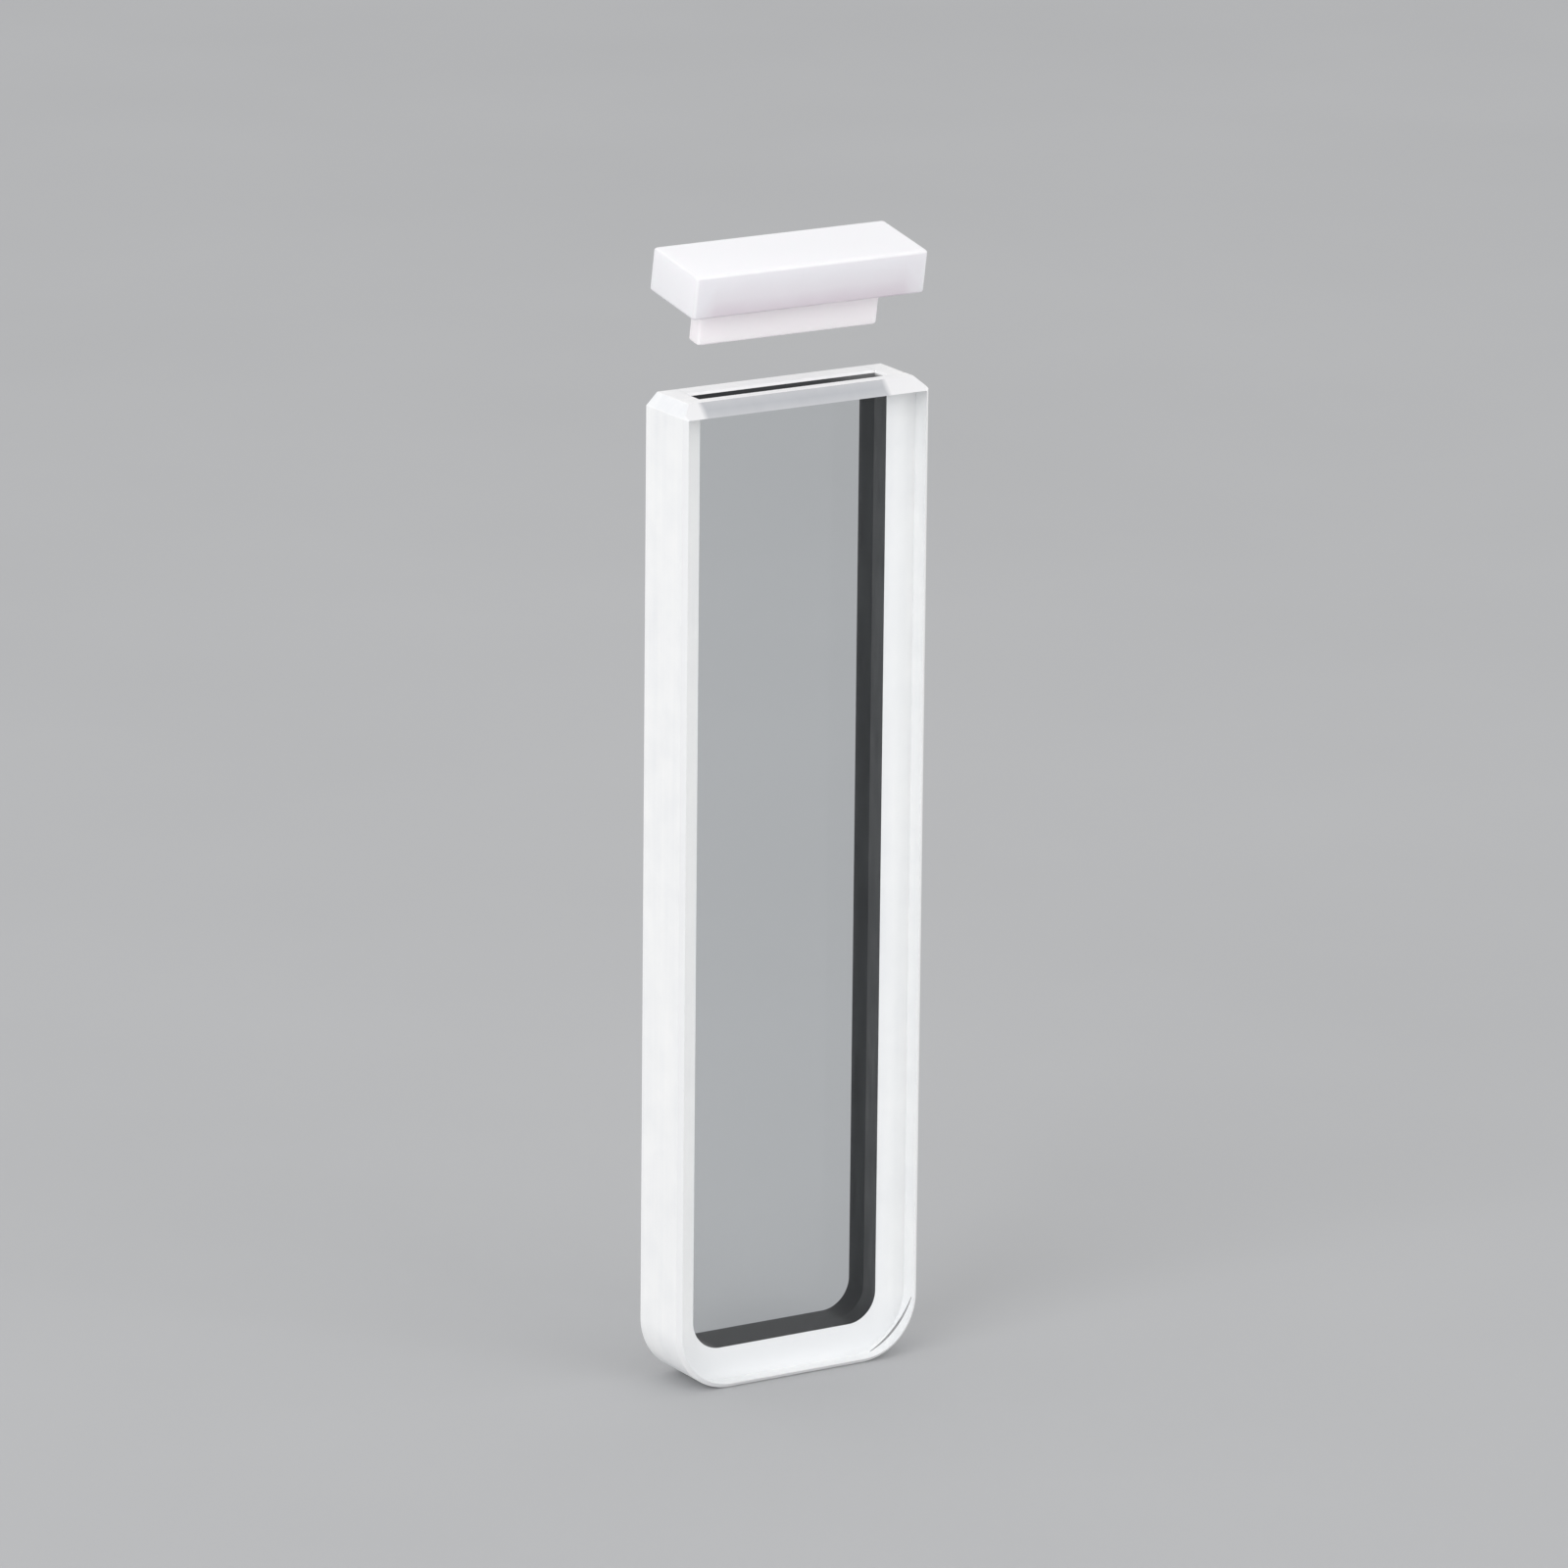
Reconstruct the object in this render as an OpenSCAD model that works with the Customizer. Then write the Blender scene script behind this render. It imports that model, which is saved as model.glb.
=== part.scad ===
// Short-path cuvette: two polished windows fused to a U-shaped frame, with a push-in lid
// shown lifted off. Millimetres; +Z up; the front window faces -Y. The origin is the
// middle of the base, where the cell stands.

/* [Cell] */
// Outside width of the cell
cell_w = 12.5; // [11:0.1:14]
// Outside height of the cell
cell_h = 45; // [20:1:60]
// Depth of the chamber, which is the path of the light
light_path = 1; // [0.5:0.1:2]
// Thickness of each window
window_t = 1.25; // [1:0.05:2]
// Thickness of the frame's two side walls
wall_t = 1.5; // [1:0.1:2.5]
// Thickness of the frame's base
base_t = 1.5; // [1:0.1:4]

/* [Corners and ground edges] */
// Outside radius of the two lower corners
corner_r = 2.8; // [1:0.1:4]
// Radius of the chamber's two lower corners
chamber_r = 1.4; // [0.5:0.1:3]
// Chamfer across the two upper corners
upper_chamfer = 0.55; // [0.2:0.05:1]
// Ground bevel round the polished face of each window
edge_bevel = 0.2; // [0.1:0.05:0.6]
// Wider ground bevel along the top edge of the front window
rim_bevel = 0.6; // [0.1:0.05:0.8]
// Bevel that breaks the edge of the chamber's mouth
mouth_bevel = 0.1; // [0.05:0.05:0.2]

/* [Lid] */
// Width of the lid's block
lid_w = 11.7; // [10:0.1:13]
// Depth of the lid's block
lid_d = 3.8; // [3.5:0.1:6]
// Thickness of the lid's block
lid_t = 2; // [1:0.1:4]
// Length of the tongue that plugs the mouth
tongue_h = 1.9; // [1:0.1:5]
// Clearance between the tongue and each window
tongue_clearance = 0.08; // [0.02:0.01:0.2]
// Clearance between the tongue and each side wall
tongue_end_gap = 0.2; // [0.05:0.05:0.5]
// Lead-in ground round the tongue's tip
tongue_lead = 0.12; // [0.05:0.01:0.2]
// Chamfer that breaks the block's edges
lid_chamfer = 0.12; // [0.05:0.01:0.3]
// Height at which the lid is held above the mouth
lid_lift = 4.1; // [0:0.1:20]
// Tilt towards the front at which the lid is held once its tongue is out of the mouth
lid_tilt = 10; // [0:1:20]

/* [Hidden] */
$fn = 96;
half_w = cell_w / 2;
chamber_w = cell_w - 2 * wall_t;
// Square bars turned by 45 degrees have this side for a chamfer one unit wide
bar_per_chamfer = sqrt(2);
// How far a cutting tool reaches past the stock that it cuts
past = 1;
// The lid stays level while its tongue is in the mouth
tongue_reach = tongue_h + light_path / 2 * sin(lid_tilt);
tilt = lid_lift > tongue_reach ? lid_tilt : 0;

// Square bar along X whose middle lies on an edge, to take a chamfer off it
module edge_bar(length, chamfer) {
    side = chamfer * bar_per_chamfer;
    rotate([45, 0, 0]) cube([length, side, side], center = true);
}

// Front view of a rectangle that stands on the X axis with its lower corners rounded
module rounded_foot(width, height, radius) {
    translate([-width / 2, radius]) square([width, height - radius]);
    translate([radius - width / 2, 0]) square([width - 2 * radius, radius]);
    for (side = [-1, 1]) translate([side * (width / 2 - radius), radius]) circle(r = radius);
}

// Takes the chamfer off both upper corners of a piece of the cell
module cut_upper_corners() {
    side = upper_chamfer * bar_per_chamfer;
    depth = light_path + 2 * window_t + 2 * past;
    difference() {
        children();
        for (x = [-half_w, half_w])
            translate([x, 0, cell_h]) rotate([0, 45, 0]) cube([side, depth, side], center = true);
    }
}

// The U between the windows: two side walls and the base, round the chamber
module frame() {
    color("whitesmoke") cut_upper_corners() difference() {
        rotate([90, 0, 0]) linear_extrude(light_path, center = true) difference() {
            rounded_foot(cell_w, cell_h, corner_r);
            translate([0, base_t]) rounded_foot(chamber_w, cell_h, chamber_r);
        }
        for (x = [-chamber_w / 2, chamber_w / 2])
            translate([x, 0, cell_h]) rotate([0, 0, 90]) edge_bar(light_path + past, mouth_bevel);
    }
}

// Section across a window whose middle is at x = 0: the polished face is on y = window_t,
// and a bevel runs along both of its edges
function window_section(half) = [
    [-half, 0], [-half, window_t - edge_bevel], [edge_bevel - half, window_t],
    [half - edge_bevel, window_t], [half, window_t - edge_bevel], [half, 0]
];

// One window, standing behind y = 0 with its polished face on y = window_t; top_bevel runs
// along its top edge
module window_plate(top_bevel) {
    difference() {
        union() {
            translate([0, 0, corner_r]) linear_extrude(cell_h - corner_r)
                polygon(window_section(half_w));
            rotate([90, 0, 90]) linear_extrude(cell_w - 2 * corner_r, center = true)
                polygon([for (p = window_section(corner_r)) [p.y, corner_r + p.x]]);
            for (side = [-1, 1]) translate([side * (half_w - corner_r), 0, corner_r])
                rotate([-90, 0, 0]) rotate_extrude()
                    polygon([for (p = window_section(corner_r)) [max(p.x, 0), p.y]]);
        }
        translate([0, window_t, cell_h]) edge_bar(cell_w + 2 * past, top_bevel);
        translate([0, 0, cell_h]) edge_bar(chamber_w, mouth_bevel);
        for (side = [-1, 1])
            translate([side * (half_w - upper_chamfer / 2), window_t, cell_h - upper_chamfer / 2])
                rotate([0, side * 45, 0]) edge_bar(upper_chamfer + 2 * past, edge_bevel);
    }
}

// A window in its place behind the chamber
module seated_window(top_bevel) {
    color("lightcyan", 0.5) cut_upper_corners() translate([0, light_path / 2, 0])
        window_plate(top_bevel);
}

module back_window() {
    seated_window(edge_bevel);
}

module front_window() {
    mirror([0, 1, 0]) seated_window(rim_bevel);
}

// Block with every edge broken: its size along X, Y and Z, its middle on the Z axis
module broken_block(size, chamfer) {
    translate([0, 0, size.z / 2]) difference() {
        cube(size, center = true);
        for (a = [-1, 1], b = [-1, 1]) {
            translate([0, a * size.y / 2, b * size.z / 2]) edge_bar(size.x + past, chamfer);
            translate([a * size.x / 2, 0, b * size.z / 2]) rotate([0, 0, 90])
                edge_bar(size.y + past, chamfer);
            translate([a * size.x / 2, b * size.y / 2, 0]) rotate([0, 90, 0])
                edge_bar(size.z + past, chamfer);
        }
    }
}

// The lid: a block that covers the mouth, over a tongue that drops into the chamber. It is
// modelled round the middle of its block, about which it tilts.
module lid() {
    tongue = [chamber_w - 2 * tongue_end_gap, light_path - 2 * tongue_clearance, tongue_h + lid_t / 2];
    color("ghostwhite") translate([0, 0, cell_h + lid_lift + lid_t / 2]) rotate([tilt, 0, 0]) {
        translate([0, 0, -lid_t / 2]) broken_block([lid_w, lid_d, lid_t], lid_chamfer);
        translate([0, 0, -lid_t / 2 - tongue_h]) broken_block(tongue, tongue_lead);
    }
}

frame();
front_window();
back_window();
lid();
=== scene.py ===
from math import cos, pi, radians, sin

import bpy
import numpy as np
from mathutils import Matrix, Vector

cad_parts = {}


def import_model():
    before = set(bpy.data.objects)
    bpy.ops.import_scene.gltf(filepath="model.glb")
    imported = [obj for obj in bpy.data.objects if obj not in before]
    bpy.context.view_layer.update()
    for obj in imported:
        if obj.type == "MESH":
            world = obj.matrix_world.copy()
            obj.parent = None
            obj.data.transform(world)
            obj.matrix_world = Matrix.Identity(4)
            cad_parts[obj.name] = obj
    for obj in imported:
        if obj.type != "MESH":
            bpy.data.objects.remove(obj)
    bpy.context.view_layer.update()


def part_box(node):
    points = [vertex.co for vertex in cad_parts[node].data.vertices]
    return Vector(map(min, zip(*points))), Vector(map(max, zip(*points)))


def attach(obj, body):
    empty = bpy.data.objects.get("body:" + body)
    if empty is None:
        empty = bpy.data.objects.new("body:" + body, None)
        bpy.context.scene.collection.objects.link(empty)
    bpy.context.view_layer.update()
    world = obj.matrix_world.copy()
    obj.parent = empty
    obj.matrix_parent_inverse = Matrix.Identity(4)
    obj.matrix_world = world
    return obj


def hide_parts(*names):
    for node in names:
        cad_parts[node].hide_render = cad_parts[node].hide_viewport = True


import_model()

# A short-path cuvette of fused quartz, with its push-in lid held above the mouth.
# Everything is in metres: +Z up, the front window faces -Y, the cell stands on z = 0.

MM = 0.001

# Sizes of the cell that its box does not give
WALL = 1.5 * MM            # side walls and base of the frame
CORNER_R = 2.8 * MM        # lower corners, outside
CHAMBER_R = 1.4 * MM       # lower corners of the chamber
UPPER_CHAMFER = 0.55 * MM  # across the two upper corners
EDGE_BEVEL = 0.2 * MM      # round the outer face of a window
RIM_BEVEL = 0.6 * MM       # along the top of the front window's face
MOUTH_BEVEL = 0.1 * MM     # along the chamber's mouth
# The inside of the mouth is painted dark as shade.
MOUTH_SHADE = 0.45 * MM    # depth to which the inside of the mouth is dark
BOND = 0.01 * MM           # depth to which fused pieces run into each other
ARC_STEPS = 28             # segments in a quarter turn
SHARP = radians(25)        # turn between two faces from which their edge stays sharp

# Sizes of the lid that its box does not give
LID_D = 3.8 * MM           # depth of the block
LID_T = 2.0 * MM           # thickness of the block
LID_LIFT = 4.1 * MM        # height at which it is held above the mouth
LID_TILT = radians(10)     # tilt towards the front, round the middle of the block
TONGUE_H = 1.9 * MM        # length of the tongue
TONGUE_GAP = 0.08 * MM     # between the tongue and each window
TONGUE_END_GAP = 0.2 * MM  # between the tongue and each side wall
LID_EDGE = 0.13 * MM       # rounding of the lid's edges
LID_STEPS = 5              # segments in a quarter turn of those edges

frame_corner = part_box("frame")[1]
HALF_W, HEIGHT, HALF_PATH = frame_corner.x, frame_corner.z, frame_corner.y
WINDOW_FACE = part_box("back_window")[1].y
CHAMBER_HALF = HALF_W - WALL
LID_HALF_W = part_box("lid")[1].x
LID_MIDDLE = (0, 0, HEIGHT + LID_LIFT + LID_T / 2)

# Colours of ground quartz, where it is dimmest and where it is brightest; the tone between them carries
# painted light as well as mottling
GROUND_DARK = (0.84, 0.856, 0.88)
GROUND_LIGHT = (0.985, 0.986, 0.982)


# ---------------------------------------------------------------- meshes

def strip_faces(rows, columns):
    """Quads between neighbouring points of a grid with open rows and closed columns, whose rows
    follow one another in the index."""
    r = np.arange(rows - 1)[:, None] * columns
    c = np.arange(columns)[None, :]
    right = (c + 1) % columns
    return np.stack([r + c, r + right, r + columns + right, r + columns + c], axis=-1).reshape(-1, 4)


def turned(faces):
    """The same faces seen from their other side."""
    return [face[::-1] for face in faces]


def joined(*shells):
    """One list of points, faces and slots from several closed shells."""
    points, faces, slots = [], [], []
    start = 0
    for shell_points, shell_faces, shell_slots in shells:
        points.append(shell_points.reshape(-1, 3))
        faces += [[index + start for index in face] for face in shell_faces]
        slots += list(shell_slots)
        start += len(points[-1])
    return np.concatenate(points), faces, slots


def piece(name, node, slot, points, faces, slots, materials):
    """Mesh from an array of points and a list of faces with a slot number each. It rides on the
    cell, and stands for a CAD node where one is named."""
    mesh = bpy.data.meshes.new(name)
    mesh.from_pydata(points.reshape(-1, 3).tolist(), [], faces)
    for material in materials:
        mesh.materials.append(material)
    mesh.polygons.foreach_set("material_index", np.asarray(slots, np.int32))
    mesh.polygons.foreach_set("use_smooth", np.ones(len(faces), bool))
    mesh.set_sharp_from_angle(angle=SHARP)
    thing = bpy.data.objects.new(name, mesh)
    bpy.context.scene.collection.objects.link(thing)
    if node:
        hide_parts(node)
    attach(thing, "root")


def arc(centre_x, centre_z, radius, start, stop):
    """Points (x, z) at equal angles on a circle, from start to stop in degrees."""
    turn = np.radians(np.linspace(start, stop, ARC_STEPS + 1))
    return np.column_stack([centre_x + radius * np.cos(turn), centre_z + radius * np.sin(turn)])


def u_line(half, foot, radius, top_half, top, shoulder):
    """Points (x, z) along a U: from (-top_half, top) to (-half, shoulder), down, round both lower
    corners, and up the right side in the same way."""
    ends = np.array([[-top_half, top], [-half, shoulder]])
    left = arc(radius - half, foot + radius, radius, 180, 270)
    right = arc(half - radius, foot + radius, radius, 270, 360)
    return np.concatenate([ends, left, right, ends[::-1] * [-1, 1]])


def cell_line(inset=0.0, top_inset=0.0):
    """The U of the cell's outline, drawn in by inset along the sides, the base and the upper
    chamfers, and by top_inset at the rim."""
    half, top = HALF_W - inset, HEIGHT - top_inset
    slant = HALF_W + HEIGHT - UPPER_CHAMFER - inset * 2 ** 0.5
    return u_line(half, inset, CORNER_R - inset, slant - top, top, slant - half)


def chamber_line(top_inset=0.0, grown=0.0, flare=0.0):
    """The U of the chamber's outline, drawn down by top_inset at the rim, grown all round, and
    opened out by flare at the mouth."""
    half, top = CHAMBER_HALF + grown, HEIGHT - top_inset
    return u_line(half, WALL - grown, CHAMBER_R + grown, half + flare, top, top - MOUTH_BEVEL)


def at_depth(line, y):
    """Points (x, z) set at a depth y."""
    return np.column_stack([line[:, 0], np.full(len(line), y), line[:, 1]])


def u_bar(section, side_slots, mouth_slots, end_faces, end_slots):
    """A closed section carried along a U: u runs from the left mouth to the right one and v runs
    round the section, each of whose corners has a line and a depth of its own. The first and the
    last segment of the U take the mouth's slots."""
    points = np.stack([at_depth(line, y) for line, y in section], axis=1)
    u, v = points.shape[:2]
    last = (u - 1) * v
    ends = end_faces + [[last + index for index in face[::-1]] for face in end_faces]
    slots = np.tile(side_slots, (u - 1, 1))
    slots[[0, -1]] = mouth_slots
    return points, strip_faces(u, v).tolist() + ends, [*slots.ravel(), *end_slots, *end_slots]


def frame_shell():
    """The U between the windows: a section of the chamber's depth carried along the U. Its front is
    fused a hair into the front window."""
    ground, wall, bonded = range(3)
    front = HALF_PATH + BOND
    inside = chamber_line(flare=MOUTH_BEVEL)
    section = [(cell_line(), -HALF_PATH), (cell_line(), HALF_PATH), (inside, HALF_PATH),
               (inside, -front), (cell_line(2 * BOND, 2 * BOND), -front)]
    return u_bar(section, [ground, ground, wall, bonded, ground],
                 [ground, ground, ground, bonded, ground], [[4, 3, 2, 1, 0]], [ground])


def plate_shell(outline, rings, slot, face_slot, marks):
    """A plate: rings of an outline from the chamber side to the outer face, which are both flat.
    Its strips take one slot, apart from the marks, each of which names a strip, its segments and
    their slot. Its faces look inwards until the plate is mirrored or they are turned."""
    points = np.stack([at_depth(outline(*sizes), y) for y, *sizes in rings])
    v, u = points.shape[:2]
    slots = np.full((v - 1, u), slot)
    for strip, segments, marked in marks:
        slots[strip, segments] = marked
    caps = [list(range(u))[::-1], list(range((v - 1) * u, v * u))]
    return points, strip_faces(v, u).tolist() + caps, [*slots.ravel(), face_slot, face_slot]


def front_line(inset, top_inset, mouth_inset):
    """The whole outline of the front window, where mouth_inset lowers the rim over the chamber."""
    top = HEIGHT - top_inset
    corner = CHAMBER_HALF + MOUTH_BEVEL
    rim = np.array([[corner, top], [CHAMBER_HALF, top - mouth_inset],
                    [-CHAMBER_HALF, top - mouth_inset]])
    start = np.array([[-corner, top]])
    return np.concatenate([start, cell_line(inset, top_inset), rim])


def front_window_shell():
    """The front window, clear over its whole width, drawn as a back window and mirrored."""
    polished, ground, rim, mouth, bevel = range(5)
    step = RIM_BEVEL - EDGE_BEVEL
    rings = [(HALF_PATH, BOND, BOND, MOUTH_SHADE), (HALF_PATH, 0, 0, MOUTH_BEVEL),
             (HALF_PATH + MOUTH_BEVEL, 0, 0, 0), (WINDOW_FACE - RIM_BEVEL, 0, 0, 0),
             (WINDOW_FACE - EDGE_BEVEL, 0, step, 0), (WINDOW_FACE, EDGE_BEVEL, RIM_BEVEL, 0)]
    over_chamber = [-3, -2, -1]
    over_legs = [-4, 0]
    top = over_chamber + over_legs
    marks = [(0, over_chamber, mouth), (4, slice(None), bevel), (3, top, rim), (4, top, rim)]
    points, faces, slots = plate_shell(front_line, rings, ground, polished, marks)
    return points * [1, -1, 1], faces, slots


def back_window_shells():
    """The back window: a clear pane as wide as the chamber, in a border that the frame backs, which
    is a section carried along the U."""
    polished, ground, backed, wall, mouth, bevel = range(6)
    edge = WINDOW_FACE - EDGE_BEVEL
    section = [(cell_line(), HALF_PATH), (cell_line(), edge),
               (cell_line(EDGE_BEVEL, EDGE_BEVEL), WINDOW_FACE), (chamber_line(EDGE_BEVEL), WINDOW_FACE),
               (chamber_line(), edge), (chamber_line(), HALF_PATH)]
    sides = [ground, bevel, backed, wall, wall, ground]
    border = u_bar(section, sides, sides, [[5, 4, 1, 0], [4, 3, 2, 1]], [ground, bevel])
    rings = [(HALF_PATH, MOUTH_SHADE, 0), (HALF_PATH, MOUTH_BEVEL, BOND),
             (HALF_PATH + MOUTH_BEVEL, 0, BOND), (edge, 0, BOND), (WINDOW_FACE, EDGE_BEVEL, BOND)]
    rim = -1
    marks = [(0, rim, mouth), (1, rim, ground), (2, rim, ground), (3, rim, bevel)]
    points, faces, slots = plate_shell(chamber_line, rings, polished, polished, marks)
    return joined(border, (points, turned(faces), slots))


def lid_ring(half_x, half_y, z):
    """Points of a level rectangle with round corners, a quarter circle at each of them."""
    turns = np.radians(np.linspace(0, 90, LID_STEPS + 1))
    turns = np.concatenate([turns + k * pi / 2 for k in range(4)])
    sign_x, sign_y = np.repeat([[1, -1, -1, 1], [1, 1, -1, -1]], LID_STEPS + 1, axis=1)
    return np.column_stack([sign_x * (half_x - LID_EDGE) + LID_EDGE * np.cos(turns),
                            sign_y * (half_y - LID_EDGE) + LID_EDGE * np.sin(turns),
                            np.full(len(turns), z)])


def lid_shell():
    """The lid: level rounded rectangles stacked from the tongue's tip to the top of the block,
    where each turned edge is a quarter circle in the profile, all tilted about the middle of the
    block."""
    plastic, edge = range(2)
    block = np.array([LID_HALF_W, LID_D / 2])
    tongue = np.array([CHAMBER_HALF - TONGUE_END_GAP, HALF_PATH - TONGUE_GAP])
    underside = -LID_T / 2
    tip = underside - TONGUE_H
    quarter = np.radians(np.linspace(0, 90, LID_STEPS + 1))
    inwards, rise = LID_EDGE * (1 - np.sin(quarter)), LID_EDGE * (1 - np.cos(quarter))
    rings = [(*(tongue - i), tip + r) for i, r in zip(inwards, rise)]
    rings += [(*tongue, underside)]
    rings += [(*(block - i), underside + r) for i, r in zip(inwards, rise)]
    rings += [(*(block - i), LID_T / 2 - r) for i, r in zip(inwards[::-1], rise[::-1])]
    points = np.stack([lid_ring(*ring) for ring in rings])
    v, u = points.shape[:2]
    caps = [list(range(u))[::-1], list(range((v - 1) * u, v * u))]
    slots = np.full((v - 1, u), plastic)
    slots[-LID_STEPS:] = edge
    side = 2 * (LID_STEPS + 1)
    slots[side:, np.arange(u) % (LID_STEPS + 1) < LID_STEPS] = edge
    turn = np.array(Matrix.Rotation(LID_TILT, 3, "X"))
    points = points @ turn.T + LID_MIDDLE
    return points, strip_faces(v, u).tolist() + caps, [*slots.ravel(), plastic, plastic]


def painted_corner_shadow_shell(radius=4.15 * MM, side_gap=0.055 * MM, foot_gap=0.14 * MM, width=0.12 * MM,
                      start=-66, stop=-22, proud=0.003 * MM):
    """A painted line of shadow across the front window's right lower corner: a thin dark bar whose
    section is carried along an arc, from start to stop in degrees. Its width goes as a power of the sine
    of the way along it, which stops a little short of nothing, so that both ends keep a face."""
    taper = 0.7
    way = np.linspace(0, 1, 2 * ARC_STEPS + 1)
    turn = np.radians(start + (stop - start) * way)
    half = width / 2 * np.sin(pi * (0.02 + 0.96 * way)) ** taper
    section = [(half, WINDOW_FACE + proud), (-half, WINDOW_FACE + proud),
               (-half, WINDOW_FACE - BOND), (half, WINDOW_FACE - BOND)]
    centre_x, centre_z = HALF_W - side_gap - radius, foot_gap + radius
    points = np.stack([np.column_stack([centre_x + (radius + across) * np.cos(turn),
                                        np.full(len(turn), -y),
                                        centre_z + (radius + across) * np.sin(turn)])
                       for across, y in section], axis=1)
    u, v = points.shape[:2]
    faces = strip_faces(u, v).tolist() + [[3, 2, 1, 0], [(u - 1) * v + k for k in range(4)]]
    return points, turned(faces), [0] * len(faces)


# ---------------------------------------------------------------- materials

class Nodes:
    """Short way to add nodes to a material and join them."""

    def __init__(self, name):
        """An empty material whose patterns are placed by Object coordinates."""
        self.material = bpy.data.materials.new(name)
        self.material.use_nodes = True
        self.tree = self.material.node_tree
        self.tree.nodes.clear()
        self.place = self.add("ShaderNodeTexCoord").outputs["Object"]

    def add(self, kind, inputs=None, **settings):
        """A node with its settings, whose inputs are sockets to join or plain values."""
        node = self.tree.nodes.new(kind)
        for key, value in settings.items():
            setattr(node, key, value)
        for key, value in (inputs or {}).items():
            if isinstance(value, bpy.types.NodeSocket):
                self.tree.links.new(value, node.inputs[key])
            else:
                node.inputs[key].default_value = value
        return node

    def noise(self, size, detail=2.0, stretch=(1, 1, 1)):
        """Noise whose marks are about size across, longer along an axis with a small stretch."""
        place = self.add("ShaderNodeMapping", {"Vector": self.place, "Scale": stretch}).outputs[0]
        return self.add("ShaderNodeTexNoise", {"Vector": place, "Scale": 1 / size, "Detail": detail,
                                               "Roughness": 0.55}).outputs[0]

    def math(self, operation, a, b=0.0, c=0.0):
        """One step of arithmetic."""
        return self.add("ShaderNodeMath", {0: a, 1: b, 2: c}, operation=operation).outputs[0]

    def remap(self, value, low, high, to_low=0.0, to_high=1.0):
        """A value taken from one range to another and held at its ends."""
        return self.add("ShaderNodeMapRange", {"Value": value, "From Min": low, "From Max": high,
                                               "To Min": to_low, "To Max": to_high}).outputs[0]

    def patches(self, size, detail=3.0, stretch=(1, 1, 1)):
        """Noise, most of which lies between 0.3 and 0.7, spread over the way from 0 to 1."""
        return self.remap(self.noise(size, detail, stretch), 0.3, 0.7)

    def ramp(self, factor, stops):
        """Colour along a list of (place, colour)."""
        node = self.add("ShaderNodeValToRGB", {0: factor})
        elements = node.color_ramp.elements
        while len(elements) < len(stops):
            elements.new(0.5)
        for element, (place, colour) in zip(elements, stops):
            element.position, element.color = place, (*colour, 1)
        return node.outputs[0]

    def bump(self, height, distance, strength):
        """Normal of a surface that rises by the distance where the height is 1."""
        return self.add("ShaderNodeBump", {"Height": height, "Distance": distance,
                                           "Strength": strength}).outputs[0]

    def surface(self, **inputs):
        """The finished material with one Principled shader."""
        named = {key.replace("_", " "): value for key, value in inputs.items()}
        shader = self.add("ShaderNodeBsdfPrincipled", named)
        return self.output(shader.outputs[0])

    def output(self, shader):
        """The finished material with any shader."""
        self.add("ShaderNodeOutputMaterial", {"Surface": shader})
        return self.material


def across_wall(n):
    """How far a point lies across the wall, 0 at the chamber and 1 at the outside: the largest of
    its distances from the chamber's side, from its floor and from a level one wall below the rim,
    over the wall's width."""
    x, _, z = n.add("ShaderNodeSeparateXYZ", {0: n.place}).outputs
    beside = n.math("SUBTRACT", n.math("ABSOLUTE", x), CHAMBER_HALF)
    below = n.math("SUBTRACT", WALL, z)
    above = n.math("SUBTRACT", z, HEIGHT - WALL)
    return n.remap(n.math("MAXIMUM", n.math("MAXIMUM", beside, below), above), 0, WALL)


def on_chamfer(n):
    """1 on the two upper chamfers and 0 elsewhere: the lesser of how far a point lies beyond the
    inner end of a chamfer and above its foot, over the width of the blend."""
    blend = 0.04 * MM
    x, _, z = n.add("ShaderNodeSeparateXYZ", {0: n.place}).outputs
    beyond = n.math("SUBTRACT", n.math("ABSOLUTE", x), HALF_W - UPPER_CHAMFER)
    over = n.math("SUBTRACT", z, HEIGHT - UPPER_CHAMFER)
    return n.remap(n.math("MINIMUM", beyond, over), 0, blend)


def ground_tone(n):
    """Tone of a ground face: mottling and streaks up the walls, with painted light that makes it brighter
    towards the outside, but not on the upper chamfers, which keep a painted shade."""
    mottle = n.patches(1.6 * MM)
    streak = n.patches(0.4 * MM, 2, (1, 1, 0.03))
    spread = n.math("MULTIPLY_ADD", streak, 0.25, n.math("MULTIPLY", mottle, 0.3))
    # Painted light: lighter towards the outside of the wall; painted shade: the upper chamfers stay dim.
    painted_light_outwards = n.math("SUBTRACT", across_wall(n), on_chamfer(n))
    return n.math("MULTIPLY_ADD", painted_light_outwards, 0.45, spread), mottle


def ground_colour(n, tone):
    """Colour of ground quartz for a tone from 0 to 1."""
    return n.ramp(tone, [(0, GROUND_DARK), (1, GROUND_LIGHT)])


def grain(n):
    """Normal of a finely ground face."""
    return n.bump(n.noise(0.07 * MM), 0.006 * MM, 0.6)


def evenly_ground(n, colour):
    """The finished material of a face that is ground evenly all over."""
    return n.surface(Base_Color=colour, IOR=1.46, Roughness=0.5, Normal=grain(n))


def frosted_quartz():
    """Ground fused quartz: fine grain over streaks and mottling, with the painted light of the ground
    tone.
    """
    n = Nodes("frosted_quartz")
    tone, mottle = ground_tone(n)
    return n.surface(Base_Color=ground_colour(n, tone), IOR=1.46,
                     Roughness=n.remap(mottle, 0, 1, 0.42, 0.58), Normal=grain(n))


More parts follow.
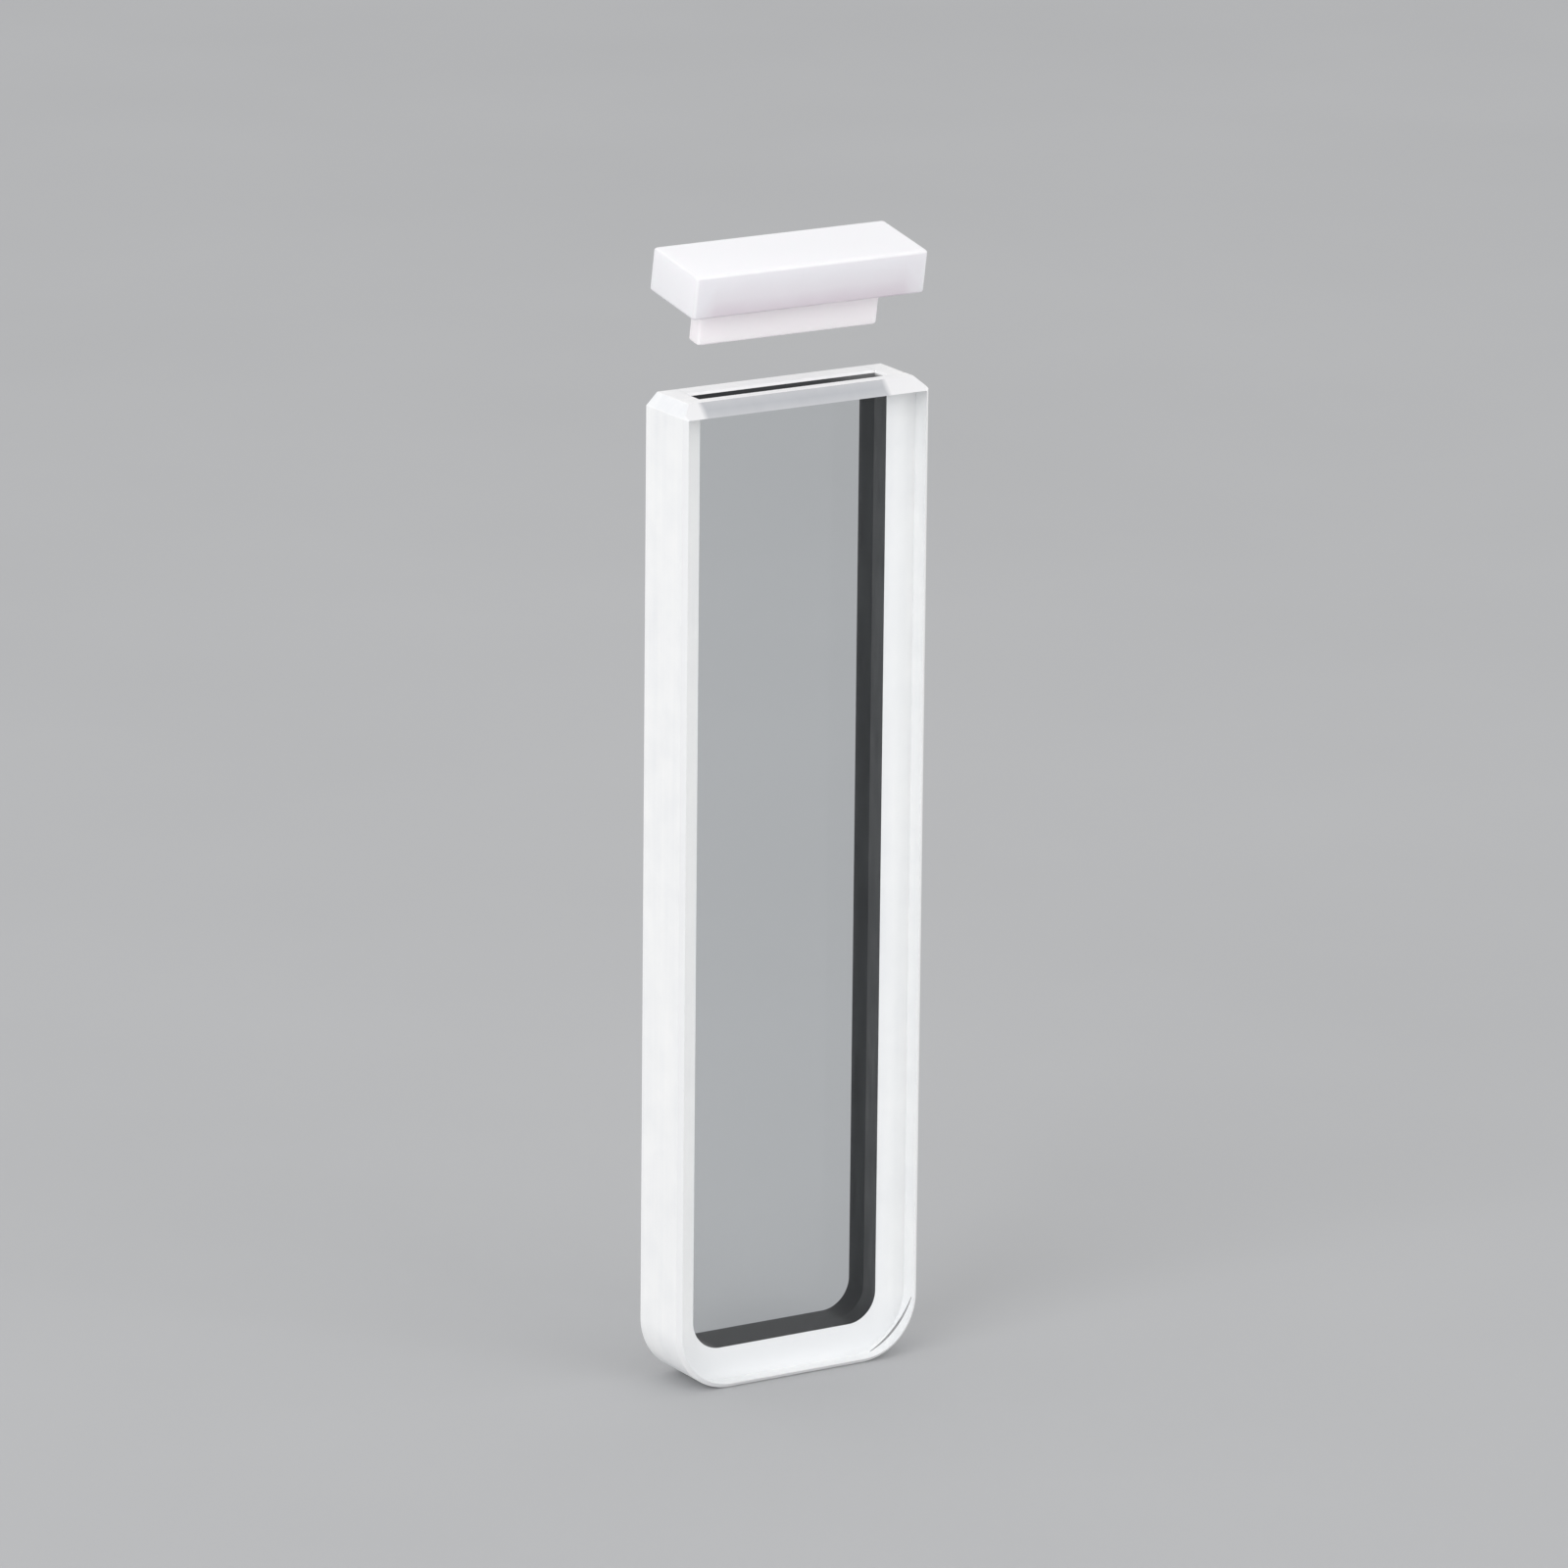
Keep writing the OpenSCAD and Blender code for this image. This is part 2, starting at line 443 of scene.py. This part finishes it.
def bonded_quartz_painted_light():
    """Ground front of the frame, fused under the window: a lighter copy of ground quartz, with painted
    light that makes it whiter on the left wall, and painted shade that makes it evenly dim along the
    base."""
    n = Nodes("bonded_quartz_painted_light")
    x, _, z = n.add("ShaderNodeSeparateXYZ", {0: n.place}).outputs
    # Painted light on the left wall, painted shade along the base.
    left = n.remap(x, 0, -CHAMBER_HALF, 0.0, 0.5)
    painted_shade_over_base = n.remap(z, 0.6 * WALL, 1.8 * WALL)
    tone = n.math("MULTIPLY", n.math("ADD", ground_tone(n)[0], left), painted_shade_over_base)
    return evenly_ground(n, n.ramp(tone, [(0, (0.86, 0.868, 0.88)), (1, (0.985, 0.985, 0.98))]))


def frosted_edge_painted_shade():
    """Ground bevels round the windows, with painted shade that makes them dimmer along the left side and
    the base than elsewhere.
    """
    n = Nodes("frosted_edge_painted_shade")
    x, _, z = n.add("ShaderNodeSeparateXYZ", {0: n.place}).outputs
    # Painted shade: darker towards the left side and towards the base.
    from_left = n.remap(x, -HALF_W, 2 * MM - HALF_W)
    painted_shade_over_base = n.remap(z, 0, 3 * MM, 0.5, 1.0)
    way = n.math("MULTIPLY", from_left, painted_shade_over_base)
    tone = n.math("MULTIPLY_ADD", n.patches(0.8 * MM), 0.1, way)
    return evenly_ground(n, n.ramp(tone, [(0, (0.79, 0.795, 0.805)), (1, (0.98, 0.98, 0.98))]))


def rim_quartz_painted_shade():
    """Ground bevel along the front window's rim, painted with shade and light: a cool grey of painted
    shade in front of the chamber, paler along both of its edges as painted light, that turns white
    towards the legs. The grey is set a little to the left."""
    n = Nodes("frosted_rim_painted_shade")
    x, _, z = n.add("ShaderNodeSeparateXYZ", {0: n.place}).outputs
    rise = n.remap(z, HEIGHT - RIM_BEVEL, HEIGHT)
    near_edge = n.math("MULTIPLY", n.math("ABSOLUTE", n.math("SUBTRACT", rise, 0.5)), 0.6)
    to_left = 0.5 * MM
    across = n.math("ABSOLUTE", n.math("ADD", x, to_left))
    near_leg = n.remap(across, CHAMBER_HALF - 0.3 * MM, CHAMBER_HALF + 0.05 * MM)
    # Painted shade over the chamber, painted light along its edges and towards the legs.
    tone = n.math("MULTIPLY_ADD", n.patches(0.8 * MM), 0.1, n.math("MAXIMUM", near_edge, near_leg))
    colour = n.ramp(tone, [(0, (0.455, 0.47, 0.495)), (0.3, (0.515, 0.525, 0.545)),
                           (1, (0.80, 0.80, 0.81))])
    return evenly_ground(n, colour)


def polished_quartz(name, tint):
    """Clear polished quartz: light goes straight through, and each face reflects by Schlick's rule,
    0.02 head-on and more towards grazing."""
    n = Nodes(name)
    facing = n.add("ShaderNodeLayerWeight", {"Blend": 0.5}).outputs["Facing"]
    gloss = n.math("MULTIPLY_ADD", n.math("POWER", facing, 5.0), 0.9, 0.02)
    clear = n.add("ShaderNodeBsdfTransparent", {"Color": (*tint, 1)}).outputs[0]
    mirror = n.add("ShaderNodeBsdfPrincipled", {"Base Color": (1, 1, 1, 1), "Metallic": 1.0,
                                                "Roughness": 0.02}).outputs[0]
    return n.output(n.add("ShaderNodeMixShader", {0: gloss, 1: clear, 2: mirror}).outputs[0])


def backed_quartz():
    """Polished back of the border: frosted white under a clear gloss, with the painted light of the
    ground tone.
    """
    n = Nodes("backed_quartz")
    white = ground_colour(n, ground_tone(n)[0])
    return n.surface(Base_Color=white, Roughness=0.5, IOR=1.46, Coat_Weight=1.0, Coat_Roughness=0.03,
                     Coat_IOR=1.46)


def inner_wall_painted_shade(name, dark, light):
    """Polished wall round the chamber, painted dark grey as shade where the light runs on into it, with
    faint streaks, darkest on the chamber's floor as painted shade and paler just under the mouth as
    painted light."""
    n = Nodes(name)
    z = n.add("ShaderNodeSeparateXYZ", {0: n.place}).outputs[2]
    streaks = n.math("MULTIPLY_ADD", n.patches(0.5 * MM, 3, (1, 1, 0.2)), 0.3, 0.3)
    # Painted shade darkest on the floor, painted light just under the mouth.
    rising = n.remap(z, WALL, WALL + CHAMBER_R)
    painted_light_under_mouth = n.remap(z, HEIGHT - RIM_BEVEL, HEIGHT - MOUTH_BEVEL)
    tone = n.math("MAXIMUM", n.math("MULTIPLY", streaks, rising), painted_light_under_mouth)
    colour = n.ramp(tone, [(0, (0.015, 0.016, 0.018)), (0.3, dark), (0.6, light),
                           (1, (0.75, 0.75, 0.75))])
    return n.surface(Base_Color=colour, Roughness=0.3, IOR=1.46, Specular_IOR_Level=0.06)


def mouth_shade():
    """Inside of the mouth: painted shade, dark, and paler towards the right end as painted light."""
    n = Nodes("mouth_shade")
    x = n.add("ShaderNodeSeparateXYZ", {0: n.place}).outputs[0]
    way = n.remap(x, -CHAMBER_HALF, CHAMBER_HALF)
    # Painted shade, lightened towards the right end as painted light.
    tone = n.math("MULTIPLY_ADD", n.patches(0.6 * MM), 0.05, way)
    colour = n.ramp(tone, [(0, (0.035, 0.037, 0.04)), (0.75, (0.06, 0.062, 0.065)),
                           (1, (0.19, 0.192, 0.195))])
    return n.surface(Base_Color=colour, Roughness=0.4, IOR=1.46, Specular_IOR_Level=0.25)


def painted_corner_shadow():
    """Grey of a fine line of shadow."""
    n = Nodes("painted_corner_shadow")
    tone = n.ramp(n.patches(0.3 * MM), [(0, (0.28, 0.28, 0.29)), (1, (0.40, 0.40, 0.41))])
    return n.surface(Base_Color=tone, Roughness=0.6)


def lid_nodes(name):
    """Nodes for the lid, whose patterns are set in its own frame, level and about its middle."""
    n = Nodes(name)
    n.place = n.add("ShaderNodeMapping", {"Vector": n.place, "Location": LID_MIDDLE,
                                          "Rotation": (LID_TILT, 0, 0)}, vector_type="TEXTURE").outputs[0]
    return n


def waxy(n, colour):
    """Satin skin with faint skiving marks along the lid, over a body that light sinks into."""
    marks = n.noise(0.12 * MM, 3, (0.25, 1, 1))
    return n.surface(Base_Color=colour, Roughness=0.42, IOR=1.38, Subsurface_Weight=0.35,
                     Subsurface_Radius=(1.0, 0.9, 0.95), Subsurface_Scale=0.5 * MM,
                     Normal=n.bump(marks, 0.008 * MM, 0.5))


def lid_plastic():
    """Skived PTFE with painted light: waxy white on top and at both ends as painted light, lilac and
    darker towards the foot of the block as painted shade, and rosy on the tongue, lightened there as
    painted light."""
    n = lid_nodes("lid_plastic")
    x, _, z = n.add("ShaderNodeSeparateXYZ", {0: n.place}).outputs
    along = n.math("ABSOLUTE", x)
    rise = n.remap(z, -LID_T / 2 - TONGUE_H, LID_T / 2)
    shoulder = TONGUE_H / (TONGUE_H + LID_T)
    front_top = 0.93
    pale_end = 1.1 * MM
    # Painted light near both ends and on top, painted shade towards the foot of the block.
    painted_light_near_end = n.remap(along, LID_HALF_W - pale_end, LID_HALF_W, 0.0, 0.35)
    cloudy_and_painted_shade = n.math("MULTIPLY_ADD", n.patches(2.2 * MM), 0.06, rise)
    front = n.math("MINIMUM", n.math("ADD", cloudy_and_painted_shade, painted_light_near_end), front_top)
    painted_light_top_or_end = n.math("MAXIMUM", n.remap(z, LID_T / 2 - LID_EDGE, LID_T / 2),
                        n.remap(along, LID_HALF_W - LID_EDGE, LID_HALF_W))
    white = n.math("MULTIPLY", painted_light_top_or_end, n.math("GREATER_THAN", rise, shoulder))
    tone = n.math("MAXIMUM", front, white)
    colour = n.ramp(tone, [(0, (0.99, 0.94, 0.97)), (shoulder - 0.01, (0.985, 0.915, 0.955)),
                           (shoulder + 0.04, (0.70, 0.635, 0.69)), (0.72, (0.785, 0.755, 0.795)),
                           (front_top, (0.82, 0.81, 0.845)), (1, (0.908, 0.903, 0.937))])
    return waxy(n, colour)


def lid_edge_painted_shade():
    """The same plastic where an edge is turned, painted a shade greyer as shade, to tone down the light
    that the turned edge catches.
    """
    n = lid_nodes("lid_edge_painted_shade")
    # Painted shade on the turned edges.
    return waxy(n, n.ramp(n.patches(1 * MM), [(0, (0.85, 0.84, 0.865)), (1, (0.90, 0.89, 0.915))]))


def floor_card():
    """Pale matt card with a faint tooth."""
    n = Nodes("floor_card")
    tone = n.ramp(n.patches(40 * MM), [(0, (0.47, 0.475, 0.485)), (1, (0.485, 0.49, 0.50))])
    return n.surface(Base_Color=tone, Roughness=0.9, Specular_IOR_Level=0.1)


# ---------------------------------------------------------------- pieces

ground, bonded = frosted_quartz(), bonded_quartz_painted_light()
edge, mouth = frosted_edge_painted_shade(), mouth_shade()
polished = polished_quartz("polished_quartz", (0.986, 0.989, 0.99))
pane = polished_quartz("polished_pane", (0.935, 0.943, 0.949))
# Both inner walls are painted shade: dark grey base colours on clear quartz.
wall = inner_wall_painted_shade("chamber_wall_painted_shade", (0.052, 0.054, 0.057), (0.085, 0.087, 0.09))
pane_wall_painted_shade = inner_wall_painted_shade("pane_wall_painted_shade", (0.016, 0.018, 0.02), (0.034, 0.037, 0.039))

piece("fused_frame", "frame", "frosted_quartz", *frame_shell(), [ground, wall, bonded])
piece("front_plate", "front_window", "polished_quartz", *front_window_shell(),
      [polished, ground, rim_quartz_painted_shade(), mouth, edge])
piece("back_plate", "back_window", "polished_quartz", *back_window_shells(),
      [pane, ground, backed_quartz(), pane_wall_painted_shade, mouth, edge])
piece("ptfe_lid", "lid", "lid_plastic", *lid_shell(), [lid_plastic(), lid_edge_painted_shade()])
# A thin bar painted as a line of shadow.
piece("painted_corner_shadow", None, "frosted_quartz", *painted_corner_shadow_shell(), [painted_corner_shadow()])


# ---------------------------------------------------------------- stage

def floor(size=3.0, drop=0.02 * MM):
    """Level square a hair below the cell, so that their faces do not meet."""
    mesh = bpy.data.meshes.new("floor")
    corner = size * np.array([[-1, -1], [1, -1], [1, 1], [-1, 1]])
    mesh.from_pydata(np.column_stack([corner, np.full(4, -drop)]).tolist(), [], [[0, 1, 2, 3]])
    mesh.materials.append(floor_card())
    thing = bpy.data.objects.new("floor", mesh)
    bpy.context.scene.collection.objects.link(thing)


def towards(azimuth, elevation):
    """Direction from the cell, with azimuth 0 in front of it and 90 on its right."""
    a, e = radians(azimuth), radians(elevation)
    return Vector((sin(a) * cos(e), -cos(a) * cos(e), sin(e)))


def softbox(name, azimuth, elevation, distance, size, watts):
    """Square area lamp that looks at the middle of the cell."""
    lamp = bpy.data.lights.new(name, "AREA")
    lamp.size, lamp.energy = size, watts
    thing = bpy.data.objects.new(name, lamp)
    back = towards(azimuth, elevation)
    thing.location = Vector((0, 0, HEIGHT / 2)) + back * distance
    thing.rotation_euler = back.to_track_quat("Z", "Y").to_euler()
    bpy.context.scene.collection.objects.link(thing)


def camera(azimuth, elevation, roll, distance, lens, height):
    """Camera that looks at a point of the Z axis, turned about its own axis by roll."""
    back = towards(azimuth, elevation)
    right = Vector((0, 0, 1)).cross(back).normalized()
    up = back.cross(right)
    across = cos(radians(roll)) * right + sin(radians(roll)) * up
    data = bpy.data.cameras.new("camera")
    data.lens, data.clip_start, data.clip_end = lens, 0.01, 20
    thing = bpy.data.objects.new("camera", data)
    place = Matrix((across, back.cross(across), back)).transposed().to_4x4()
    place.translation = Vector((0, 0, height)) + back * distance
    thing.matrix_world = place
    bpy.context.scene.collection.objects.link(thing)
    bpy.context.scene.camera = thing


def world(colour, strength):
    """Even light from all round."""
    sky = bpy.data.worlds.new("studio")
    sky.use_nodes = True
    background = sky.node_tree.nodes["Background"]
    background.inputs["Color"].default_value = (*colour, 1)
    background.inputs["Strength"].default_value = strength
    bpy.context.scene.world = sky


floor()
world(colour=(1, 1, 1), strength=0.85)
softbox("key", azimuth=-65, elevation=20, distance=0.8, size=0.5, watts=2.3)
softbox("fill", azimuth=15, elevation=16, distance=0.9, size=0.6, watts=1.8)
camera(azimuth=-31.291, elevation=15.3207, roll=0.581, distance=0.445288, lens=232.067,
       height=26.943 * MM)
bpy.context.scene.view_settings.view_transform = "Standard"
